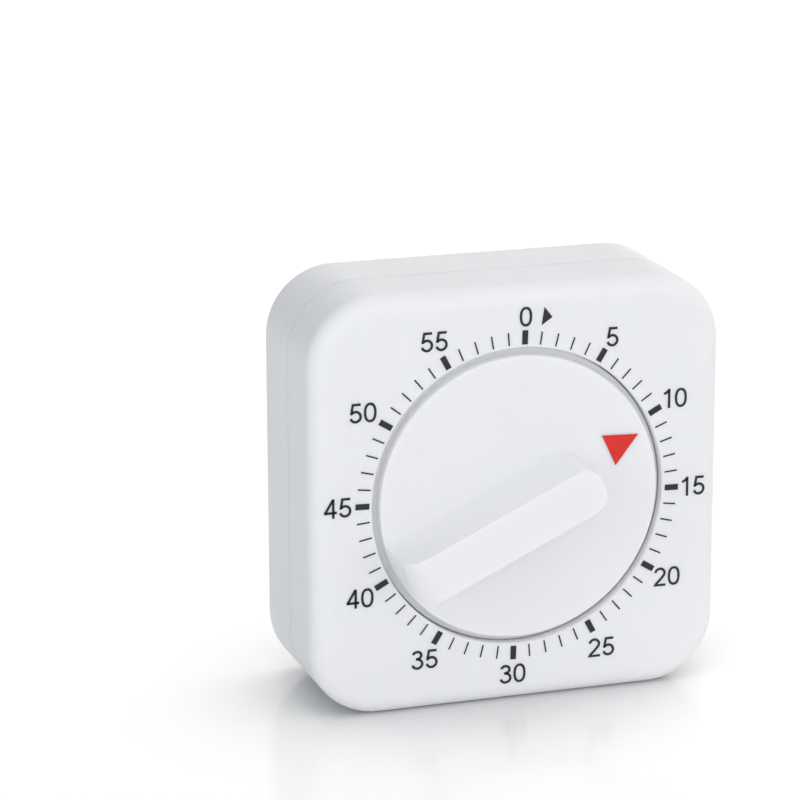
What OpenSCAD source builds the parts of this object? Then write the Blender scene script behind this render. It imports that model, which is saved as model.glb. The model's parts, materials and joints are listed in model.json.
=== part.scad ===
// Sixty-minute wind-up kitchen timer in a square white case, standing on its bottom edge.
// Z is up, the dial faces -Y, and the flat underside is at Z = 0.
// Inside, each piece is drawn in the movement's own frame: X to the right, Y up and Z towards
// the person who reads the dial, with Z = 0 on the back of the case. place() stands it upright.

/* [Case] */
// Width and height of the square case
case_w = 75; // [74:1:85]
// Depth of the case without the knob
case_d = 30.2; // [30.2:0.2:36]
// Radius of the four big corners, seen from the front
corner_r = 12.3; // [11:0.1:14]
// Radius of the soft edges round the front and back faces
edge_r = 3.2; // [2.6:0.1:3.6]
// Wall thickness of both shells
wall = 2; // [1.8:0.1:2.2]
// Distance from the front face back to the seam between the shells
seam_depth = 14; // [12:0.5:15]

/* [Knob] */
// Radius of the knob's disc
knob_r = 25.4; // [24:0.1:25.6]
// How far the flange stands out behind the disc's edge
flange = 1.1; // [0.8:0.1:1.2]
// Distance from the face back to the flange
flange_sunk = 1.8; // [1.4:0.1:2.6]
// Width of the ring-shaped gap between the flange and the case
ring_gap = 0.2; // [0.2:0.05:0.5]
// How far the disc stands in front of the face
disc_proud = 0.6; // [0.2:0.1:1.5]
// Width of the straight grip at its top
grip_w = 8.2; // [7:0.1:9]
// How far each wall of the grip leans out from its top to its foot
grip_draft = 0.4; // [0.2:0.1:0.8]
// Height of the grip in front of the face
grip_h = 13.2; // [10:0.1:18]
// Distance from the axis to the pointer end of the grip
grip_reach = 11.8; // [9:0.1:13]
// Radius of the hollow fillet where the grip rises from the disc
grip_foot = 1.6; // [0.8:0.1:2.4]
// Radius of the round fall at the top of the grip's nose
nose_fall = 4; // [2:0.5:6]
// Angle of the grip at rest, clockwise from straight up
pointer_angle = 65; // [0:0.1:90]
// Distance from the axis to the tip of the red pointer
pointer_tip = 23.8; // [20:0.1:23.9]
// Length of the pointer from its base to its tip
pointer_len = 6; // [4:0.1:7]
// Width of the pointer's base
pointer_w = 6.2; // [4:0.1:7]
// How far the pointer sits to one side of the grip's middle line
pointer_off = -0.5; // [-0.8:0.1:0.8]

/* [Movement] */
// Half the width of the two movement plates
plate_half = 25.5; // [25.2:0.1:26]
// Module of the great wheel, the strike barrel and their pinions
great_m = 0.35; // [0.34:0.01:0.36]
// Module of the second wheel and its pinion
second_m = 0.3; // [0.29:0.01:0.31]
// Module of the third wheel and its pinion
third_m = 0.25; // [0.24:0.01:0.26]
// Radius of the escape wheel over its teeth
escape_r = 4.4; // [4.2:0.1:4.5]
// Radius of the balance wheel
balance_r = 6; // [5:0.1:6.2]
// Radius of the strike wheel over its teeth
star_r = 4.4; // [4.2:0.1:4.5]
// Radius of the bell at its rim
bell_r = 21; // [19:0.5:21]

/* [Hidden] */
$fn = 96;
tiny = 0.01;
depth_all = case_d + grip_h;
seam_z = case_d - seam_depth;
floor_top = case_d - 4.4;
floor_under = floor_top - wall;
disc_top = case_d + disc_proud;
disc_under = floor_top + 0.3;
recess_r = knob_r + flange + ring_gap;
lip_r = 0.3;
rim_soft = 0.35;
end_corner_r = 3.4;
grip_top = case_d + grip_h;
grip_rise = grip_h - disc_proud;
grip_lean = grip_draft / grip_rise;
grip_sunk = 1;
print_turn = 1.84;

// Depths of the movement, from the back of the case towards the dial
plate_t = 1;
back_plate_z = 10.2;
inside_z = back_plate_z + plate_t;
front_plate_z = 21.2;
barrel_z = 11.7;
spring_z = 12.9;
spring_w = 3.6;
cam_z = 16.9;
ratchet_z = 18.9;
great_z = 19.7;
second_z = 17.7;
third_z = 15.6;
escape_z = 13.6;
balance_z = 17;
star_z = 17.2;
hammer_z = 6.4;
bell_z = 4;

// Tooth counts: 80/8, 60/8 and 64/8 make 600 turns of the escape wheel for one of the knob
great_n = 80;
second_n = 60;
third_n = 64;
leaf_n = 8;
escape_n = 15;
star_n = 10;

// Centres of the arbors, worked out from the meshing distances
great_mesh = (great_n + leaf_n) * great_m / 2;
second_mesh = (second_n + leaf_n) * second_m / 2;
third_mesh = (third_n + leaf_n) * third_m / 2;
second_at = polar(great_mesh, 215);
third_far = 21.6;
third_turn = acos((great_mesh ^ 2 + third_far ^ 2 - second_mesh ^ 2) / (2 * great_mesh * third_far));
third_at = polar(third_far, 215 + third_turn);
escape_at = third_at + [third_mesh, 0];
balance_at = escape_at + [escape_r + 2.2, 0];
strike_way = 50;
strike_at = polar(great_mesh, strike_way);
hammer_at = strike_at + polar(star_r + 2.6, strike_way);
bell_at = [-3, -4];
bell_depth = 5.4;
bell_t = 0.8;
head_r = 1.8;
head_at = bell_at + polar(bell_r + head_r + 0.4, 20);
lever_at = [-12, 12];
cam_r = 8;
nose_way = 100;
nose_at = polar(cam_r + 0.7, nose_way);
tail_at = [8.8, 17];
click_at = polar(8.4, 60);
stud_at = balance_at + polar(3.8, -60);
pillar_off = plate_half - 4;
boss_off = case_w / 2 - 10;
movement_screw_ways = [110, 175, 350];
movement_screw_r = 18;
second_phase = atan2(third_at.y - second_at.y, third_at.x - second_at.x);

function polar(r, way) = [r * cos(way), r * sin(way)];
function direction(from, to) = atan2(to.y - from.y, to.x - from.x);

// ---- Shared shapes ----

module place() {
    translate([0, depth_all / 2, case_w / 2]) rotate([90, 0, 0]) children();
}

module at(spot, z = 0) {
    translate([spot.x, spot.y, z]) children();
}

module four_corners(off) {
    for (x = [-off, off], y = [-off, off]) translate([x, y, 0]) children();
}

module rounded_square(w, r) {
    square([w, w - 2 * r], center = true);
    square([w - 2 * r, w], center = true);
    for (x = [-1, 1], y = [-1, 1]) translate([x * (w / 2 - r), y * (w / 2 - r)]) circle(r);
}

// Half of an edge profile: straight at the back, rounded at the front
module edge_profile(w, d, r) {
    translate([0, 0]) square([w, d - r]);
    square([w - r, d]);
    translate([w - r, d - r]) circle(r);
}

// A square block with big corners whose front edge is rounded; its back is flat at Z = 0
module soft_block(w, d, big, soft) {
    straight = w - 2 * big;
    four_corners(w / 2 - big) rotate_extrude() intersection() {
        edge_profile(big, d, soft);
        square([big, d]);
    }
    for (turn = [0, 90]) rotate([0, 0, turn]) translate([0, straight / 2, 0]) rotate([90, 0, 0])
        linear_extrude(straight) union() {
            edge_profile(w / 2, d, soft);
            mirror([1, 0]) edge_profile(w / 2, d, soft);
        }
}

// A straight arm with round ends between two spots
module arm(from, to, w) {
    way = direction(from, to);
    length = norm(to - from);
    translate(from) rotate(way) translate([0, -w / 2]) square([length, w]);
    translate(from) circle(d = w);
    translate(to) circle(d = w);
}

// A ribbon wound into a flat spiral
module spiral(r0, r1, turns, t, steps = 30) {
    count = turns * steps;
    outer = [for (i = [0:count]) polar(r0 + (r1 - r0) * i / count + t / 2, 360 * i / steps)];
    inner = [for (i = [count:-1:0]) polar(r0 + (r1 - r0) * i / count - t / 2, 360 * i / steps)];
    polygon(concat(outer, inner));
}

// Teeth with flat flanks: root and tip widths are shares of half a pitch
module gear(n, m, root = 1, tip = 0.36) {
    half = 90 / n;
    r0 = n * m / 2 - 1.1 * m;
    r1 = n * m / 2 + 0.8 * m;
    polygon([for (i = [0:n - 1], p = [[r0, -root], [r1, -tip], [r1, tip], [r0, root]])
        polar(p[0], 360 * i / n + p[1] * half)]);
}

// Slanted teeth, as on a ratchet or an escape wheel
module saw_wheel(n, r0, r1) {
    pitch = 360 / n;
    polygon([for (i = [0:n - 1], p = [[r0, 0], [r1, 0.08], [r1, 0.2], [r0, 0.5]])
        polar(p[0], pitch * (i + p[1]))]);
}

module round_holes(count, r, hole_r) {
    for (i = [0:count - 1]) rotate(360 / count * (i + 0.5)) translate([r, 0]) circle(hole_r);
}

// A wheel of sheet brass with round crossings and a bore
module brass_wheel(n, m, bore_r, holes, holes_r, hole_r, t = 0.8) {
    color("goldenrod") linear_extrude(t) difference() {
        gear(n, m);
        circle(bore_r);
        round_holes(holes, holes_r, hole_r);
    }
}

// A steel arbor between the plates: two pivots, a body, a leaf pinion and a seat for its wheel
module steel_arbor(pivot_r, body_r, leaf_m, leaf_z, leaf_len, seat_r, seat_z, seat_len, turn = 0) {
    gap = 0.2;
    color("silver") {
        translate([0, 0, back_plate_z]) cylinder(r = pivot_r, h = front_plate_z - back_plate_z + plate_t);
        translate([0, 0, inside_z + gap]) cylinder(r = body_r, h = front_plate_z - inside_z - 2 * gap);
        translate([0, 0, seat_z]) cylinder(r = seat_r, h = seat_len);
        if (leaf_m > 0)
            translate([0, 0, leaf_z]) rotate(turn) linear_extrude(leaf_len) gear(leaf_n, leaf_m, 0.8, 0.25);
    }
}

// A pan-head screw whose head starts at Z = 0 and points towards +Z; its slot is a cross
module pan_screw(head_r, head_h, shank_r, length) {
    color("silver") difference() {
        union() {
            cylinder(r = head_r, h = head_h);
            translate([0, 0, -length]) cylinder(r = shank_r, h = length + tiny);
        }
        for (turn = [0, 90]) rotate(turn) translate([-head_r * 0.6, -0.25, head_h * 0.45])
            cube([head_r * 1.2, 0.5, head_h]);
    }
}

// ---- Case ----

module front_case() {
    color("white") place() difference() {
        union() {
            difference() {
                translate([0, 0, seam_z]) soft_block(case_w, seam_depth, corner_r, edge_r);
                translate([0, 0, seam_z - 1])
                    soft_block(case_w - 2 * wall, seam_depth + 1 - wall, corner_r - wall, edge_r - wall);
            }
            translate([0, 0, floor_under])
                cylinder(r = recess_r + wall, h = case_d - wall - floor_under + tiny);
            for (way = movement_screw_ways) at(polar(movement_screw_r, way), front_plate_z + plate_t)
                cylinder(r = 3, h = floor_under - front_plate_z - plate_t + tiny);
            four_corners(boss_off) translate([0, 0, seam_z]) cylinder(r = 3, h = seam_depth - wall + tiny);
        }
        translate([0, 0, floor_top]) cylinder(r = recess_r, h = 10);
        translate([0, 0, case_d]) rotate_extrude() difference() {
            translate([recess_r - 1, -lip_r]) square([lip_r + 1, lip_r + 1]);
            translate([recess_r + lip_r, -lip_r]) circle(lip_r);
        }
        cylinder(r = 3, h = case_d);
        for (way = movement_screw_ways) at(polar(movement_screw_r, way)) cylinder(r = 1.35, h = case_d);
        four_corners(boss_off) translate([0, 0, seam_z - 1]) cylinder(r = 1.25, h = 10);
    }
}

module rear_cover() {
    lip = 0.15;
    groove = 0.3;
    color("whitesmoke") place() difference() {
        union() {
            difference() {
                translate([0, 0, seam_z]) mirror([0, 0, 1]) soft_block(case_w, seam_z, corner_r, edge_r);
                translate([0, 0, seam_z + 1]) mirror([0, 0, 1])
                    soft_block(case_w - 2 * wall, seam_z + 1 - wall, corner_r - wall, edge_r - wall);
                translate([0, 0, seam_z - groove]) linear_extrude(1) difference() {
                    square(case_w + 1, center = true);
                    rounded_square(case_w - 2 * groove, corner_r - groove);
                }
            }
            translate([0, 0, seam_z - 2]) linear_extrude(3.2) difference() {
                rounded_square(case_w - 2 * wall - 2 * lip, corner_r - wall - lip);
                rounded_square(case_w - 2 * wall - 2.2, corner_r - wall - 1.1);
            }
            translate([0, 0, seam_z - 2.4]) linear_extrude(0.8) difference() {
                rounded_square(case_w - 2 * wall + 1, corner_r - wall + 0.5);
                rounded_square(case_w - 2 * wall - 2.2, corner_r - wall - 1.1);
            }
            four_corners(boss_off) translate([0, 0, 1]) cylinder(r = 3.8, h = seam_z - 1);
        }
        four_corners(boss_off) {
            translate([0, 0, -1]) cylinder(r = 2.8, h = 11);
            translate([0, 0, -tiny]) cylinder(r1 = 3.3, r2 = 2.8, h = 0.5);
            cylinder(r = 1.4, h = case_d);
        }
        for (i = [-2:2]) translate([7 * i, 0, -1]) linear_extrude(wall + 2) {
            arm([0, -9 + abs(i)], [0, 9 - abs(i)], 2);
        }
    }
}

module cover_screws() {
    place() four_corners(boss_off) translate([0, 0, 10]) mirror([0, 0, 1]) pan_screw(2.4, 1.6, 1.25, 14);
}

// ---- Knob ----

// Half profile of the leaning wall whose top is at distance r
module grip_wall(r) {
    low = r + grip_draft + grip_sunk * grip_lean;
    polygon([[0, -grip_sunk], [low, -grip_sunk], [r, grip_rise], [0, grip_rise]]);
}

// Half profile of the hollow fillet at the foot of that wall
module grip_hollow(r) {
    foot = r + grip_draft - grip_foot * grip_lean - 0.02;
    difference() {
        translate([r - 0.5, -grip_sunk]) square([foot + grip_foot - r + 0.5, grip_foot + grip_sunk]);
        translate([foot + grip_foot, grip_foot]) circle(grip_foot);
    }
}

// Carries a profile along both flanks, across the straight end and round its two corners.
// Children: the profile at the flanks' distance, at the end's and at the corners' radius.
module round_grip() {
    end_x = grip_reach - end_corner_r;
    end_y = grip_w / 2 - end_corner_r;
    translate([-knob_r - 2, 0, 0]) rotate([90, 0, 90]) linear_extrude(knob_r + 2 + end_x) {
        children(0);
        mirror([1, 0]) children(0);
    }
    translate([0, end_y, 0]) rotate([90, 0, 0]) linear_extrude(2 * end_y) children(1);
    for (side = [-1, 1]) translate([end_x, side * end_y]) rotate_extrude() children(2);
}

// The grip runs along X: its nose follows the disc's rim and falls away in a big round
module grip() {
    nose_r = knob_r - 0.1;
    high = grip_rise + grip_sunk + 1;
    intersection() {
        round_grip() {
            grip_wall(grip_w / 2);
            grip_wall(grip_reach);
            grip_wall(end_corner_r);
        }
        translate([0, 0, grip_rise - high]) rotate_extrude() intersection() {
            edge_profile(nose_r, high, nose_fall);
            square([nose_r, high]);
        }
    }
    intersection() {
        round_grip() {
            grip_hollow(grip_w / 2);
            grip_hollow(grip_reach);
            grip_hollow(end_corner_r);
        }
        translate([0, 0, -grip_sunk]) cylinder(r = nose_r - 0.4, h = grip_foot + grip_sunk + 1);
    }
}

// Half profile of the disc: a soft rim, a flange behind it and a hollow fillet between them
module disc_profile() {
    high = disc_top - disc_under;
    step = case_d - flange_sunk - disc_under;
    soft = 0.4;
    intersection() {
        edge_profile(knob_r, high, rim_soft);
        square([knob_r, high]);
    }
    square([knob_r + flange, step]);
    difference() {
        translate([knob_r - 1, step - 1]) square([1 + soft, 1 + soft]);
        translate([knob_r + soft, step + soft]) circle(soft);
    }
}

module pointer_shape() {
    base = pointer_tip - pointer_len;
    translate([0, pointer_off]) polygon([[base, -pointer_w / 2], [pointer_tip, 0], [base, pointer_w / 2]]);
}

module knob() {
    skin = 1.8;
    hub_r = 5.5;
    color("white") place() rotate(90 - pointer_angle) difference() {
        union() {
            translate([0, 0, disc_under]) rotate_extrude() disc_profile();
            translate([0, 0, disc_top - tiny]) grip();
        }
        translate([0, 0, disc_under - 1]) difference() {
            cylinder(r = knob_r - skin, h = disc_top - disc_under + 1 - skin);
            cylinder(r = hub_r, h = disc_top);
        }
        for (span = [[-knob_r + 3.2, -hub_r], [hub_r, grip_reach - 2.6]])
            translate([span[0], 1.6 - grip_w / 2, disc_under]) cube([span[1] - span[0], grip_w - 3.2, 13]);
        translate([0, 0, disc_under - 1]) arbor_end(11, 0.02);
        translate([0, 0, disc_top - 0.5]) linear_extrude(1) pointer_shape();
    }
}

module pointer() {
    color("crimson") place() rotate(90 - pointer_angle) translate([0, 0, disc_top - 0.5])
        linear_extrude(0.52) pointer_shape();
}

// The flatted end of the main arbor, drawn a little larger for the knob's socket
module arbor_end(h, more = 0) {
    intersection() {
        cylinder(r = 2 + more, h = h);
        translate([-3, -3, 0]) cube([4.4 + more, 6, h]);
    }
}

// ---- Plates and what holds them ----

module plate_outline() {
    difference() {
        rounded_square(2 * plate_half, 5);
        for (spot = [second_at, third_at, escape_at]) translate(spot) circle(0.55);
        translate(balance_at) circle(0.35);
        translate(strike_at) circle(0.55);
    }
}

module front_plate() {
    color("goldenrod") place() translate([0, 0, front_plate_z]) linear_extrude(plate_t) difference() {
        plate_outline();
        circle(2.05);
        translate(hammer_at) circle(0.65);
        four_corners(pillar_off) circle(0.85);
        for (way = movement_screw_ways) rotate(way) translate([movement_screw_r, 0]) circle(1.25);
        translate([-17, 14]) circle(4);
        translate([19, -14]) circle(4);
    }
}

module back_plate() {
    color("goldenrod") place() translate([0, 0, back_plate_z]) linear_extrude(plate_t) difference() {
        plate_outline();
        circle(1.55);
        translate(hammer_at) circle(0.85);
        translate(bell_at) circle(1.2);
        translate(lever_at) circle(0.8);
        four_corners(pillar_off) circle(1.1);
    }
}

module pillars() {
    long = front_plate_z - inside_z;
    color("silver") place() four_corners(pillar_off) difference() {
        union() {
            translate([0, 0, back_plate_z]) cylinder(r = 1.1, h = plate_t + tiny);
            translate([0, 0, inside_z]) cylinder(r = 1.8, h = long);
        }
        translate([0, 0, front_plate_z - 5]) cylinder(r = 0.8, h = 6);
    }
}

module pillar_screws() {
    place() four_corners(pillar_off) translate([0, 0, front_plate_z + plate_t])
        pan_screw(2, 1.1, 0.8, 5);
}

module movement_screws() {
    place() for (way = movement_screw_ways) at(polar(movement_screw_r, way), floor_top)
        pan_screw(2.3, 1.3, 1.25, 4.8);
}

// ---- Main arbor and what turns with the knob ----

module main_arbor() {
    color("silver") place() difference() {
        union() {
            translate([0, 0, 9]) cylinder(r = 1.5, h = 3);
            translate([0, 0, inside_z + 0.2]) cylinder(r = 2, h = 2);
            translate([0, 0, spring_z]) cylinder(r = 2.6, h = front_plate_z - spring_z - 0.1);
            translate([0, 0, front_plate_z - 1]) cylinder(r = 2, h = floor_top + 0.1 - front_plate_z + 1);
            translate([0, 0, floor_top]) rotate(90 - pointer_angle) arbor_end(10);
        }
        translate([0, 0, 9.6]) difference() {
            cylinder(r = 2, h = 0.5);
            cylinder(r = 1.2, h = 0.5);
        }
    }
}

module arbor_clip() {
    color("dimgray") place() translate([0, 0, 9.6]) linear_extrude(0.5) difference() {
        circle(2.8);
        circle(1.2);
        translate([0, -0.8]) square([4, 1.6]);
        for (turn = [120, 240]) rotate(turn) translate([1.8, 0]) circle(0.5);
    }
}

module great_wheel() {
    place() translate([0, 0, great_z]) rotate(direction([0, 0], second_at))
        brass_wheel(great_n, great_m, 2.62, 5, 8.6, 2.7);
}

module ratchet_wheel() {
    color("silver") place() translate([0, 0, ratchet_z]) linear_extrude(0.7) difference() {
        saw_wheel(24, 4.6, 5.2);
        circle(2.6);
    }
}

module click() {
    nose = polar(5.7, 20);
    color("silver") place() translate([0, 0, ratchet_z]) linear_extrude(0.7) difference() {
        union() {
            translate(click_at) circle(1.4);
            arm(click_at, nose, 0.9);
        }
        translate(click_at) circle(0.65);
    }
}

module click_stud() {
    color("silver") place() at(click_at, ratchet_z - 0.4) {
        cylinder(r = 1, h = 0.35);
        cylinder(r = 0.6, h = great_z - ratchet_z + 0.4);
    }
}

module click_spring() {
    reach = 10.2;
    color("silver") place() translate([0, 0, ratchet_z]) {
        rotate(66) rotate_extrude(angle = 50) translate([reach, 0]) square([0.25, 0.6]);
        at(polar(reach + 0.1, 116)) cylinder(r = 0.6, h = great_z - ratchet_z);
    }
}

module cam_disc() {
    knob_to_zero = pointer_angle - print_turn;
    color("silver") place() translate([0, 0, cam_z]) linear_extrude(0.6) difference() {
        circle(cam_r);
        circle(2.6);
        rotate(nose_way - knob_to_zero) translate([cam_r - 1.4, -1.1]) square([3, 2.2]);
        round_holes(3, 5.2, 1.2);
    }
}

module mainspring() {
    strip = 0.25;
    color("steelblue") place() translate([0, 0, spring_z]) linear_extrude(spring_w)
        spiral(2.6 + strip / 2, 11.6 - strip / 2, 6.5, strip);
}

module alarm_barrel() {
    place() {
        translate([0, 0, barrel_z]) rotate(strike_way) brass_wheel(great_n, great_m, 2.05, 5, 8.6, 2.7);
        color("silver") at([-12.2, 0], barrel_z + 0.8 - tiny)
            cylinder(r = 0.6, h = spring_z + spring_w - barrel_z - 0.8);
    }
}

// ---- Going train ----

module second_arbor() {
    turn = direction(second_at, [0, 0]) + 180 / leaf_n;
    place() at(second_at) steel_arbor(0.5, 0.7, great_m, 19.2, 1.7, 1, second_z - 0.2, 1.7, turn);
}

module second_wheel() {
    place() at(second_at, second_z) rotate(second_phase)
        brass_wheel(second_n, second_m, 1, 4, 5.4, 2, 0.7);
}

module third_arbor() {
    turn = second_phase + 180 + 180 / leaf_n;
    place() at(third_at) steel_arbor(0.5, 0.7, second_m, second_z - 0.4, 1.5, 0.9, third_z - 0.2, 1.2, turn);
}

module third_wheel() {
    place() at(third_at, third_z) brass_wheel(third_n, third_m, 0.9, 4, 4.8, 1.8, 0.6);
}

module escape_arbor() {
    place() at(escape_at)
        steel_arbor(0.5, 0.6, third_m, third_z - 0.4, 1.4, 0.8, escape_z - 0.2, 1, 180 / leaf_n);
}

module escape_wheel() {
    gap_centre = 0.79;
    turn = 36 - 360 / escape_n * gap_centre;
    color("goldenrod") place() at(escape_at, escape_z) linear_extrude(0.6) difference() {
        rotate(turn) saw_wheel(escape_n, escape_r - 1.2, escape_r);
        circle(0.8);
        round_holes(3, 2, 0.6);
    }
}

// ---- Balance ----

module balance_staff() {
    place() at(balance_at) steel_arbor(0.3, 0.6, 0, 0, 0, 0.8, balance_z, 1.2);
}

// Two pins stand on an arm over the rim of a wheel and drop between its teeth by turns; a tail can poise it
module pin_anchor(wheel_r, mesh, pin_r, pin_z, pin_len, arm_z, arm_t, hub_r, bore_r, tail = 0) {
    pin_at = [for (side = [-1, 1]) polar(wheel_r + pin_r + 0.13, side * 36) - [mesh, 0]];
    difference() {
        union() {
            translate([0, 0, arm_z]) linear_extrude(arm_t) {
                for (spot = pin_at) arm([0, 0], spot, 2.4 * pin_r);
                if (tail > 0) arm([0, 0], [tail, 0], 2.4);
            }
            translate([0, 0, pin_z]) cylinder(r = hub_r, h = arm_z + arm_t - pin_z);
            for (spot = pin_at) at(spot, pin_z) cylinder(r = pin_r, h = pin_len);
        }
        translate([0, 0, pin_z - 1]) cylinder(r = bore_r, h = 4);
    }
}

module pallet_anchor() {
    color("silver") place() at(balance_at)
        pin_anchor(escape_r, escape_r + 2.2, 0.25, escape_z - 0.1, 1.1, escape_z + 1, 0.4, 1.1, 0.6, 2.2);
}

module balance_wheel() {
    color("goldenrod") place() at(balance_at, balance_z) linear_extrude(0.8) {
        difference() {
            circle(balance_r);
            circle(balance_r - 0.8);
        }
        difference() {
            union() {
                square([2 * balance_r - 1, 1], center = true);
                circle(1.3);
            }
            circle(0.8);
        }
    }
}

module hairspring_collet() {
    color("goldenrod") place() at(balance_at, 18.6) linear_extrude(0.5) difference() {
        circle(1.1);
        circle(0.6);
        translate([0, -0.1]) square([2, 0.2]);
    }
}

module hairspring() {
    color("steelblue") place() at(balance_at, 18.7) rotate(120) linear_extrude(0.3)
        spiral(1.16, 3.3, 4.5, 0.12);
}

module hairspring_stud() {
    color("goldenrod") place() at(stud_at, 18.5) cylinder(r = 0.5, h = front_plate_z - 18.5);
}

// ---- Strike train, bell and release ----

module strike_arbor() {
    turn = strike_way + 180 + 180 / leaf_n;
    place() at(strike_at) steel_arbor(0.5, 0.6, great_m, barrel_z - 0.2, 1.6, 0.9, star_z - 0.2, 1.2, turn);
}

module strike_wheel() {
    gap_centre = 0.79;
    turn = strike_way + 36 - 360 / star_n * gap_centre;
    color("silver") place() at(strike_at, star_z) linear_extrude(0.8) difference() {
        rotate(turn) saw_wheel(star_n, star_r - 1.4, star_r);
        circle(0.9);
    }
}

module hammer_arbor() {
    color("silver") place() at(hammer_at) {
        translate([0, 0, hammer_z - 0.4]) cylinder(r = 0.8, h = front_plate_z - 0.2 - hammer_z + 0.4);
        translate([0, 0, front_plate_z - 1]) cylinder(r = 0.6, h = 1 + plate_t);
    }
}

module hammer_anchor() {
    color("silver") place() at(hammer_at) rotate(strike_way)
        pin_anchor(star_r, star_r + 2.6, 0.35, star_z - 0.1, 1.3, star_z + 1.1, 0.5, 1.5, 0.8);
}

module hammer() {
    color("silver") place() {
        translate([0, 0, hammer_z]) linear_extrude(1) difference() {
            union() {
                arm(hammer_at, head_at, 1.6);
                translate(hammer_at) circle(1.8);
            }
            translate(hammer_at) circle(0.8);
        }
        at(head_at, hammer_z - 1) cylinder(r = head_r, h = 3);
    }
}

module release_lever() {
    color("silver") place() translate([0, 0, cam_z]) linear_extrude(0.6) difference() {
        union() {
            arm(lever_at, nose_at, 1.2);
            arm(lever_at, tail_at, 1.2);
            translate(lever_at) circle(1.8);
        }
        translate(lever_at) circle(0.85);
    }
}

module lever_stud() {
    color("silver") place() at(lever_at) {
        translate([0, 0, back_plate_z]) cylinder(r = 0.8, h = cam_z + 1 - back_plate_z);
        translate([0, 0, inside_z]) cylinder(r = 1.4, h = cam_z - 0.1 - inside_z);
    }
}

module lever_spring() {
    foot_at = [-16, 19];
    tip_at = [0, 16.4];
    color("steelblue") place() {
        translate([0, 0, cam_z]) linear_extrude(0.6) arm(foot_at, tip_at, 0.3);
        at(foot_at, inside_z) cylinder(r = 0.8, h = cam_z + 0.6 - inside_z);
    }
}

module bell() {
    dome_r = (bell_r ^ 2 + bell_depth ^ 2) / (2 * bell_depth);
    color("lightsteelblue") place() at(bell_at, bell_z) intersection() {
        translate([0, 0, dome_r]) difference() {
            sphere(dome_r);
            sphere(dome_r - bell_t);
        }
        difference() {
            cylinder(r = bell_r, h = bell_depth);
            translate([0, 0, -1]) cylinder(r = 1.05, h = 3);
        }
    }
}

module bell_post() {
    color("silver") place() at(bell_at) difference() {
        union() {
            translate([0, 0, bell_z + bell_t + 0.05])
                cylinder(r = 1.8, h = back_plate_z - bell_z - bell_t - 0.05);
            translate([0, 0, back_plate_z - 1]) cylinder(r = 1.2, h = plate_t + 1);
        }
        translate([0, 0, bell_z]) cylinder(r = 1, h = 4.6);
    }
}

module bell_screw() {
    place() at(bell_at, bell_z) mirror([0, 0, 1]) pan_screw(2.2, 1.4, 1, 4);
}

front_case();
rear_cover();
cover_screws();
knob();
pointer();
front_plate();
back_plate();
pillars();
pillar_screws();
movement_screws();
main_arbor();
arbor_clip();
great_wheel();
ratchet_wheel();
click();
click_stud();
click_spring();
cam_disc();
mainspring();
alarm_barrel();
second_arbor();
second_wheel();
third_arbor();
third_wheel();
escape_arbor();
escape_wheel();
balance_staff();
pallet_anchor();
balance_wheel();
hairspring_collet();
hairspring();
hairspring_stud();
strike_arbor();
strike_wheel();
hammer_arbor();
hammer_anchor();
hammer();
release_lever();
lever_stud();
lever_spring();
bell();
bell_post();
bell_screw();
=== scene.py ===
"""Looks of a square, white, sixty-minute wind-up kitchen timer that stands on its bottom edge.

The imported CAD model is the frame: the case, the knob and the movement keep their CAD shapes and get
their materials here. The printed dial is made here, as thin ink on the front case. Metres throughout.
"""

import json
import math

import bmesh
import bpy
from mathutils import Matrix, Vector


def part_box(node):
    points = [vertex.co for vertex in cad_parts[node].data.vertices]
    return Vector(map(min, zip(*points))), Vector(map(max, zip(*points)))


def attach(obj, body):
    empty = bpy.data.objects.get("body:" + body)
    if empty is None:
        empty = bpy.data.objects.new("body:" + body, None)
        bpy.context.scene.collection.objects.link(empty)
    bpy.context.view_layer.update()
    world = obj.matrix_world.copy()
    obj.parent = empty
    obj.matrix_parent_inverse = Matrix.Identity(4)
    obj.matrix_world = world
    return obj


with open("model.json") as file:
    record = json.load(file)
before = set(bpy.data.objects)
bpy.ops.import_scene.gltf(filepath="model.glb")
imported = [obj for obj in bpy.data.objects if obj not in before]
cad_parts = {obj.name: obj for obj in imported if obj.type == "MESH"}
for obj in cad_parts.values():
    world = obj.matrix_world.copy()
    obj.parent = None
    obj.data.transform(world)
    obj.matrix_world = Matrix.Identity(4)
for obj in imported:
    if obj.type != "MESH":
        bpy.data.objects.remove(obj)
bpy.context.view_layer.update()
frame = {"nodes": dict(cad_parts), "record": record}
NODES = frame["nodes"]

MM = 0.001

# ---- Places worked out from the frame ----

case_low, case_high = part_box("front_case")
knob_low, knob_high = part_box("knob")
FACE_Y = case_low[1]
DIAL = Vector((0.0, FACE_Y, (case_low[2] + case_high[2]) / 2))
KNOB_R = (knob_high[0] - knob_low[0]) / 2

# ---- Driving sizes of the printed dial ----

INK_T = 0.02 * MM
PRINT_TURN = math.radians(1.84)

# Minute marks: the circle their inner ends stand on, then length and width of thick and thin ones
MARK_IN = KNOB_R + 0.75 * MM
THICK_MARK = (2.5 * MM, 1.06 * MM)
THIN_MARK = (2.3 * MM, 0.27 * MM)

# Numbers: circles for two digits and for one, and how far a few of them stand outside their circle, in mm
NUMBER_R = 32.9 * MM
SINGLE_R = 32.15 * MM
NUMBER_NUDGE = {10: -0.4, 15: -0.5, 25: 0.3, 30: -0.5, 50: 0.4}

# Digits: their height, then width, step to the next digit and stroke in units of that height
DIGIT_H = 3.5 * MM
DIGIT_W = 0.65
DIGIT_STEP = 0.745
STROKE = 0.13

# Winding arrow: degrees past the zero, then its circle, length and height
ARROW_WAY = 7.1
ARROW_R = 32.25 * MM
ARROW_LONG = 1.75 * MM
ARROW_HIGH = 3.25 * MM

# ---- Camera: the angle of the photograph, with a long lens ----

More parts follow.
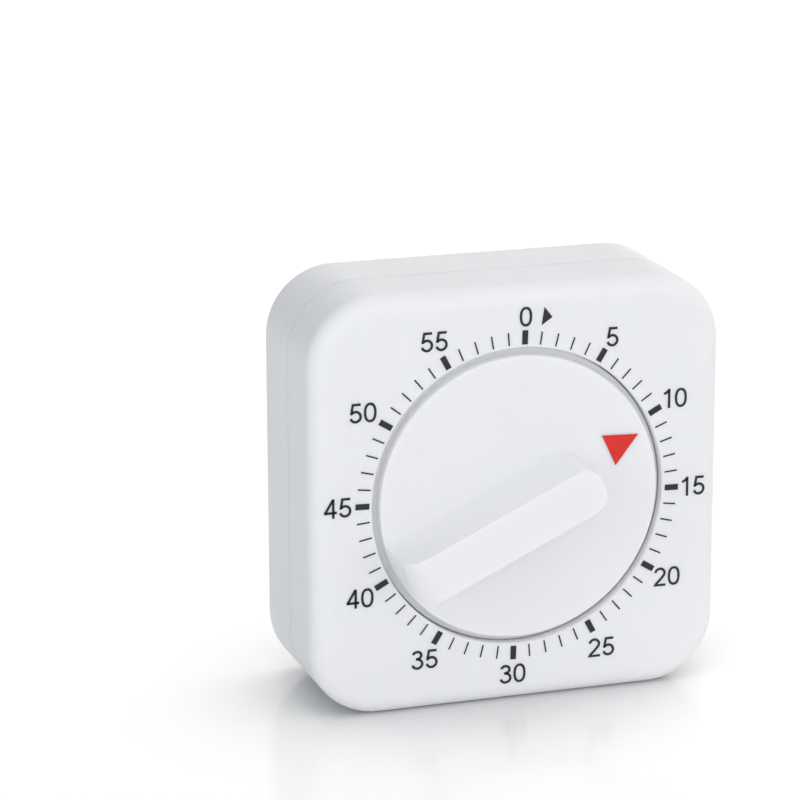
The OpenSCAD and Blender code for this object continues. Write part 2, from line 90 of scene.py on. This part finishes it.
CAMERA_AT = DIAL + Vector((-202.7, -564.3, 180.6)) * MM
CAMERA_AZIMUTH = -19.307
CAMERA_ELEVATION = 16.496
CAMERA_ROLL = 0.237
CAMERA_LENS = 162.27
CAMERA_SENSOR = 36
CAMERA_SHIFT = (-0.115, 0.1)

# ---- Studio: strengths of the white tent and glow of the floor ----

AHEAD_LEFT = 1.42
AHEAD_RIGHT = 1.06
AHEAD_LOW = 1.2
AHEAD_HIGH = 0.68
BEHIND_LEFT = 0.08
BEHIND_RIGHT = 1.16
COOL_WHITE = (0.92, 0.965, 1.0)
WHITE = (1, 1, 1)
FLOOR_HALF = 4.0
FLOOR_GAP = 0.02 * MM
FLOOR_TONE = (0.76, 0.76, 0.76, 1)
FLOOR_GLOW = 0.36
GLOW_ON_OBJECTS = 0.55

# ---- Most of a noise texture's values lie between these two ----

NOISE_LOW = 0.3
NOISE_HIGH = 0.7


# ---- Shader helpers ----

def new_material(name):
    """A material with its Principled shader and object coordinates."""
    mat = bpy.data.materials.new(name)
    mat.use_nodes = True
    tree = mat.node_tree
    shader = tree.nodes["Principled BSDF"]
    coords = tree.nodes.new("ShaderNodeTexCoord")
    return mat, tree, shader, coords.outputs["Object"]


def stretch(tree, vector, scale):
    """The coordinates scaled unevenly, for grain that runs one way."""
    node = tree.nodes.new("ShaderNodeMapping")
    node.inputs["Scale"].default_value = scale
    tree.links.new(vector, node.inputs["Vector"])
    return node.outputs["Vector"]


def noise(tree, vector, scale, detail=4.0, rough=0.55):
    """Noise, with its scale in cycles a metre."""
    node = tree.nodes.new("ShaderNodeTexNoise")
    node.inputs["Scale"].default_value = scale
    node.inputs["Detail"].default_value = detail
    node.inputs["Roughness"].default_value = rough
    tree.links.new(vector, node.inputs["Vector"])
    return node.outputs["Fac"]


def ramp(tree, value, stops):
    """A colour for each value: stops are (position, (r, g, b))."""
    node = tree.nodes.new("ShaderNodeValToRGB")
    band = node.color_ramp
    band.elements[0].position, band.elements[1].position = stops[0][0], stops[-1][0]
    band.elements[0].color = (*stops[0][1], 1)
    band.elements[1].color = (*stops[-1][1], 1)
    for position, colour in stops[1:-1]:
        band.elements.new(position).color = (*colour, 1)
    tree.links.new(value, node.inputs["Fac"])
    return node.outputs["Color"]


def tone(tree, value, dark, light):
    """A colour from dark to light, driven by noise."""
    return ramp(tree, value, [(NOISE_LOW, dark), (NOISE_HIGH, light)])


def map_range(tree, value, start, end, low, high, kind):
    """The value carried from the span start to end over to the span low to high."""
    node = tree.nodes.new("ShaderNodeMapRange")
    node.interpolation_type = kind
    node.inputs["From Min"].default_value = start
    node.inputs["From Max"].default_value = end
    node.inputs["To Min"].default_value = low
    node.inputs["To Max"].default_value = high
    tree.links.new(value, node.inputs["Value"])
    return node.outputs["Result"]


def to_range(tree, value, low, high):
    """Noise spread over low to high."""
    return map_range(tree, value, NOISE_LOW, NOISE_HIGH, low, high, "LINEAR")


def fade(tree, value, start, end, low, high):
    """A smooth step from low at start to high at end."""
    return map_range(tree, value, start, end, low, high, "SMOOTHSTEP")


def combine(tree, operation, a, b):
    """The sum or the product of two values."""
    node = tree.nodes.new("ShaderNodeMath")
    node.operation = operation
    tree.links.new(a, node.inputs[0])
    tree.links.new(b, node.inputs[1])
    return node.outputs["Value"]


def bump(tree, shader, layers):
    """Stacks bumps of (height, strength, distance in metres) on the shader's normal."""
    below = None
    for height, strength, distance in layers:
        node = tree.nodes.new("ShaderNodeBump")
        node.inputs["Strength"].default_value = strength
        node.inputs["Distance"].default_value = distance
        tree.links.new(height, node.inputs["Height"])
        if below:
            tree.links.new(below, node.inputs["Normal"])
        below = node.outputs["Normal"]
    tree.links.new(below, shader.inputs["Normal"])


def set_values(shader, **values):
    """Constants straight on the shader's sockets; an underscore stands for a space."""
    for name, value in values.items():
        shader.inputs[name.replace("_", " ")].default_value = value


# ---- Materials ----

def moulded_plastic(name, dark, light, gloss=(0.36, 0.46)):
    """White moulded ABS: a faint tone drift, spark-eroded grain and slow waviness."""
    mat, tree, shader, at = new_material(name)
    drift = noise(tree, at, 45, 3)
    satin = noise(tree, at, 900, 3)
    grain = noise(tree, at, 5200, 2, 0.6)
    wave = noise(tree, at, 60, 1)
    tree.links.new(tone(tree, drift, dark, light), shader.inputs["Base Color"])
    tree.links.new(to_range(tree, satin, *gloss), shader.inputs["Roughness"])
    bump(tree, shader, [(wave, 0.15, 0.2 * MM), (grain, 0.2, 0.02 * MM)])
    set_values(shader, IOR=1.5, Subsurface_Weight=0.7, Subsurface_Scale=1.3 * MM)
    shader.inputs["Subsurface Radius"].default_value = (1.0, 0.9, 0.8)
    return mat


def gloss_plastic(name, dark, light):
    """Coloured plastic with a smooth skin."""
    mat, tree, shader, at = new_material(name)
    drift = noise(tree, at, 700, 4)
    satin = noise(tree, at, 2400, 3)
    grain = noise(tree, at, 3000, 2)
    tree.links.new(tone(tree, drift, dark, light), shader.inputs["Base Color"])
    tree.links.new(to_range(tree, satin, 0.3, 0.42), shader.inputs["Roughness"])
    bump(tree, shader, [(grain, 0.12, 0.02 * MM)])
    return mat


def ink(name):
    """Screen-printed black ink, a little uneven."""
    mat, tree, shader, at = new_material(name)
    blot = noise(tree, at, 1800, 4)
    grain = noise(tree, at, 6000, 2)
    black = tone(tree, blot, (0.009, 0.009, 0.011), (0.016, 0.016, 0.018))
    tree.links.new(black, shader.inputs["Base Color"])
    tree.links.new(to_range(tree, blot, 0.42, 0.58), shader.inputs["Roughness"])
    bump(tree, shader, [(grain, 0.1, 0.01 * MM)])
    return mat


def metal(name, dark, light, gloss, grain=(1, 1, 14), grain_scale=900, scratch=0.12):
    """Sheet or turned metal: stretched grain, tone drift and fine scratches."""
    mat, tree, shader, at = new_material(name)
    brushed = noise(tree, stretch(tree, at, grain), grain_scale, 5, 0.65)
    drift = noise(tree, at, 160, 3)
    tree.links.new(tone(tree, drift, dark, light), shader.inputs["Base Color"])
    tree.links.new(to_range(tree, brushed, *gloss), shader.inputs["Roughness"])
    bump(tree, shader, [(brushed, scratch, 0.03 * MM)])
    set_values(shader, Metallic=1.0)
    return mat


def blued_steel(name):
    """Spring steel with a heat-blued skin that shifts towards straw."""
    mat, tree, shader, at = new_material(name)
    tint = noise(tree, at, 420, 3)
    satin = noise(tree, at, 2600, 3)
    grain = noise(tree, at, 5000, 2)
    stops = [(NOISE_LOW, (0.03, 0.06, 0.2)), (0.55, (0.07, 0.1, 0.28)), (0.72, (0.22, 0.15, 0.12))]
    tree.links.new(ramp(tree, tint, stops), shader.inputs["Base Color"])
    tree.links.new(to_range(tree, satin, 0.22, 0.36), shader.inputs["Roughness"])
    bump(tree, shader, [(grain, 0.08, 0.02 * MM)])
    set_values(shader, Metallic=1.0)
    return mat


MATERIALS = {
    "case_plastic": moulded_plastic("case_plastic", (0.885, 0.885, 0.905), (0.905, 0.905, 0.92)),
    "knob_plastic": moulded_plastic("knob_plastic", (0.89, 0.888, 0.908), (0.908, 0.906, 0.922),
                                    gloss=(0.32, 0.42)),
    "pointer_red": gloss_plastic("pointer_red", (0.72, 0.012, 0.004), (0.78, 0.02, 0.009)),
    "brass": metal("brass", (0.66, 0.46, 0.19), (0.78, 0.57, 0.27), (0.2, 0.36)),
    "steel": metal("steel", (0.5, 0.5, 0.51), (0.62, 0.62, 0.63), (0.2, 0.34),
                   grain=(14, 14, 1), grain_scale=700),
    "screw_steel": metal("screw_steel", (0.6, 0.61, 0.63), (0.72, 0.72, 0.73), (0.24, 0.4),
                         grain=(8, 8, 1), grain_scale=900),
    "spring_steel": blued_steel("spring_steel"),
    "bell_metal": metal("bell_metal", (0.66, 0.66, 0.67), (0.74, 0.74, 0.74), (0.06, 0.14),
                        grain=(1, 1, 1), grain_scale=500, scratch=0.04),
}
INK = ink("dial_ink")


def paint_nodes():
    """Each CAD node takes its record slot's material."""
    for part in frame["record"]["subparts"]:
        node = NODES[part["node"]]
        node.data.materials.clear()
        node.data.materials.append(MATERIALS[part["material_slot"]])


# ---- The printed dial ----

def arc(cx, cy, rx, ry, start, end, power=1.0, steps=14):
    """Points on an oval from one angle to another; a power under 1 squares it off a little."""
    points = []
    for i in range(steps + 1):
        a = math.radians(start + (end - start) * i / steps)
        c, s = math.cos(a), math.sin(a)
        x = cx + rx * math.copysign(abs(c) ** power, c)
        y = cy + ry * math.copysign(abs(s) ** power, s)
        points.append((x, y))
    return points


# Centre lines of the strokes, in a cell one unit high and DIGIT_W wide
LOW = STROKE / 2
TOP = 1 - LOW
MID = DIGIT_W / 2
SIDE = MID - LOW
DIGITS = {
    "0": [arc(MID, 0.5, SIDE, 0.5 - LOW, 90, 450, 0.86, 32)],
    "1": [[(0.44, 0), (0.44, 1)], [(0.44, 0.93), (0.33, 0.83), (0.16, 0.745)]],
    "2": [arc(MID - 0.01, 0.7, SIDE - 0.01, TOP - 0.7, 172, -28)
          + [(0.34, 0.36), (0.1, 0.13), (0.065, LOW), (DIGIT_W - 0.02, LOW)]],
    "3": [arc(MID - 0.01, 0.745, SIDE - 0.04, TOP - 0.745, 165, -88) + [(0.25, 0.545)],
          arc(MID, 0.3, SIDE, 0.3 - LOW, 88, -168)],
    "4": [[(0.47, 0), (0.47, 0.99)], [(0.46, 0.95), (0.05, 0.285)], [(0.0, 0.285), (DIGIT_W, 0.285)]],
    "5": [[(0.59, TOP), (0.19, TOP), (0.115, 0.5)] + arc(MID, 0.325, SIDE, 0.325 - LOW, 138, -164)],
}


def ribbon(bm, points, width, place):
    """A flat strip of that width along the points, with mitred corners."""
    points = [Vector(p) for p in points]
    rows = []
    for i, p in enumerate(points):
        before = (p - points[i - 1]).normalized() if i else None
        after = (points[i + 1] - p).normalized() if i < len(points) - 1 else None
        way = ((before or after) + (after or before)).normalized()
        side = Vector((-way.y, way.x))
        mitre = 1 / max(0.6, way.dot(after or before))
        rows.append([bm.verts.new(place(p + side * s * width / 2 * mitre)) for s in (-1, 1)])
    for a, b in zip(rows, rows[1:]):
        bm.faces.new((a[0], b[0], b[1], a[1]))


def on_dial(x, y):
    """A point of the printed dial, x to the right and y up, just proud of the face."""
    return Vector((x, FACE_Y - INK_T, DIAL.z + y))


def draw_mark(bm, minute):
    """One minute mark: thick on every fifth minute."""
    way = PRINT_TURN + math.radians(6 * minute)
    out = Vector((math.sin(way), math.cos(way)))
    length, width = THIN_MARK if minute % 5 else THICK_MARK
    ends = [out * MARK_IN, out * (MARK_IN + length)]
    ribbon(bm, ends, width, lambda p: on_dial(*p))


def draw_number(bm, minute):
    """The number beside a thick mark, upright and centred on the number circle."""
    digits = str(minute)
    way = PRINT_TURN + math.radians(6 * minute)
    radius = (NUMBER_R if len(digits) > 1 else SINGLE_R) + NUMBER_NUDGE.get(minute, 0) * MM
    centre = Vector((math.sin(way), math.cos(way))) * radius
    wide = (len(digits) - 1) * DIGIT_STEP + DIGIT_W
    for i, digit in enumerate(digits):
        corner = centre + Vector((i * DIGIT_STEP - wide / 2, -0.5)) * DIGIT_H
        for line in DIGITS[digit]:
            ribbon(bm, line, STROKE, lambda p: on_dial(*(corner + p * DIGIT_H)))


def draw_arrow(bm):
    """The small winding arrow, which points clockwise beside the zero."""
    way = PRINT_TURN + math.radians(ARROW_WAY)
    out = Vector((math.sin(way), math.cos(way)))
    along = Vector((out.y, -out.x))
    centre = out * ARROW_R
    corners = [centre - along * ARROW_LONG / 2 + out * ARROW_HIGH / 2,
               centre - along * ARROW_LONG / 2 - out * ARROW_HIGH / 2,
               centre + along * ARROW_LONG / 2]
    bm.faces.new([bm.verts.new(on_dial(*p)) for p in corners])


def make_print():
    """All the ink in one thin piece on the front case."""
    bm = bmesh.new()
    for minute in range(60):
        draw_mark(bm, minute)
        if minute % 5 == 0:
            draw_number(bm, minute)
    draw_arrow(bm)
    for face in bm.faces:
        face.normal_update()
        if face.normal.y > 0:
            face.normal_flip()
    mesh = bpy.data.meshes.new("dial_print")
    bm.to_mesh(mesh)
    bm.free()
    obj = bpy.data.objects.new("dial_print", mesh)
    bpy.context.collection.objects.link(obj)
    mesh.materials.append(INK)
    thick = obj.modifiers.new("ink thickness", "SOLIDIFY")
    thick.thickness = INK_T * 0.9
    thick.offset = -1
    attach(obj, "case")


# ---- Floor, white tent and camera ----

def floor_material():
    """Glossy white table, overexposed as in a high-key studio.

    It glows, and ambient occlusion dims the glow close to the timer, which paints shade on the floor
    there; its light on objects is weaker than what the camera sees.
    """
    mat, tree, shader, at = new_material("studio_floor")
    set_values(shader, Base_Color=FLOOR_TONE, Roughness=0.16, IOR=1.5)
    shader.inputs["Emission Color"].default_value = (*WHITE, 1)
    # Painted shade: the floor's glow fades where ambient occlusion finds the timer close by.
    openness = tree.nodes.new("ShaderNodeAmbientOcclusion")
    openness.samples = 8
    openness.inputs["Distance"].default_value = 50 * MM
    glow_with_painted_shade = fade(tree, openness.outputs["AO"], 0.3, 0.95, 0.0, FLOOR_GLOW)
    path = tree.nodes.new("ShaderNodeLightPath")
    seen = fade(tree, path.outputs["Is Camera Ray"], 0.0, 1.0, GLOW_ON_OBJECTS, 1.0)
    tree.links.new(combine(tree, "MULTIPLY", glow_with_painted_shade, seen), shader.inputs["Emission Strength"])
    bump(tree, shader, [(noise(tree, at, 30, 2), 0.02, 1 * MM)])
    return mat


def make_floor():
    """A large square just under the surface the timer stands on."""
    mesh = bpy.data.meshes.new("studio_floor")
    signs = [(-1, -1), (1, -1), (1, 1), (-1, 1)]
    corners = [(x * FLOOR_HALF, y * FLOOR_HALF, -FLOOR_GAP) for x, y in signs]
    mesh.from_pydata(corners, [], [(0, 1, 2, 3)])
    mesh.materials.append(floor_material())
    floor = bpy.data.objects.new("studio_floor", mesh)
    bpy.context.collection.objects.link(floor)


def make_world():
    """A white tent: bright in front, most of all low on the left, and behind on the right.

    It is dark behind on the left, and a little cooler on that side.
    """
    world = bpy.data.worlds.new("tent")
    world.use_nodes = True
    bpy.context.scene.world = world
    tree = world.node_tree
    background = tree.nodes["Background"]
    coords = tree.nodes.new("ShaderNodeTexCoord")
    split = tree.nodes.new("ShaderNodeSeparateXYZ")
    tree.links.new(coords.outputs["Generated"], split.inputs["Vector"])
    across = split.outputs["X"]
    away = split.outputs["Y"]
    height = split.outputs["Z"]
    ahead = combine(tree, "MULTIPLY", fade(tree, across, -0.8, 0.8, AHEAD_LEFT, AHEAD_RIGHT),
                    fade(tree, away, -0.35, 0.35, 1.0, 0.0))
    ahead = combine(tree, "MULTIPLY", ahead, fade(tree, height, 0.0, 0.8, AHEAD_LOW, AHEAD_HIGH))
    behind = combine(tree, "MULTIPLY", fade(tree, across, -0.5, 0.4, BEHIND_LEFT, BEHIND_RIGHT),
                     fade(tree, away, -0.35, 0.35, 0.0, 1.0))
    tree.links.new(combine(tree, "ADD", ahead, behind), background.inputs["Strength"])
    right = fade(tree, across, -0.8, 0.2, 0.0, 1.0)
    tree.links.new(ramp(tree, right, [(0, COOL_WHITE), (1, WHITE)]), background.inputs["Color"])


def make_camera():
    """The camera in front of the timer, above it and to its left."""
    camera = bpy.data.cameras.new("camera")
    camera.lens = CAMERA_LENS
    camera.sensor_width = CAMERA_SENSOR
    camera.shift_x, camera.shift_y = CAMERA_SHIFT
    camera.clip_start = 10 * MM
    obj = bpy.data.objects.new("camera", camera)
    bpy.context.collection.objects.link(obj)
    turn = Matrix.Rotation(math.radians(CAMERA_AZIMUTH), 4, "Z")
    tilt = Matrix.Rotation(math.radians(90 - CAMERA_ELEVATION), 4, "X")
    roll = Matrix.Rotation(math.radians(CAMERA_ROLL), 4, "Z")
    obj.matrix_world = Matrix.Translation(CAMERA_AT) @ turn @ tilt @ roll
    bpy.context.scene.camera = obj


paint_nodes()
make_print()
make_floor()
make_world()
make_camera()
bpy.context.scene.view_settings.view_transform = "Standard"
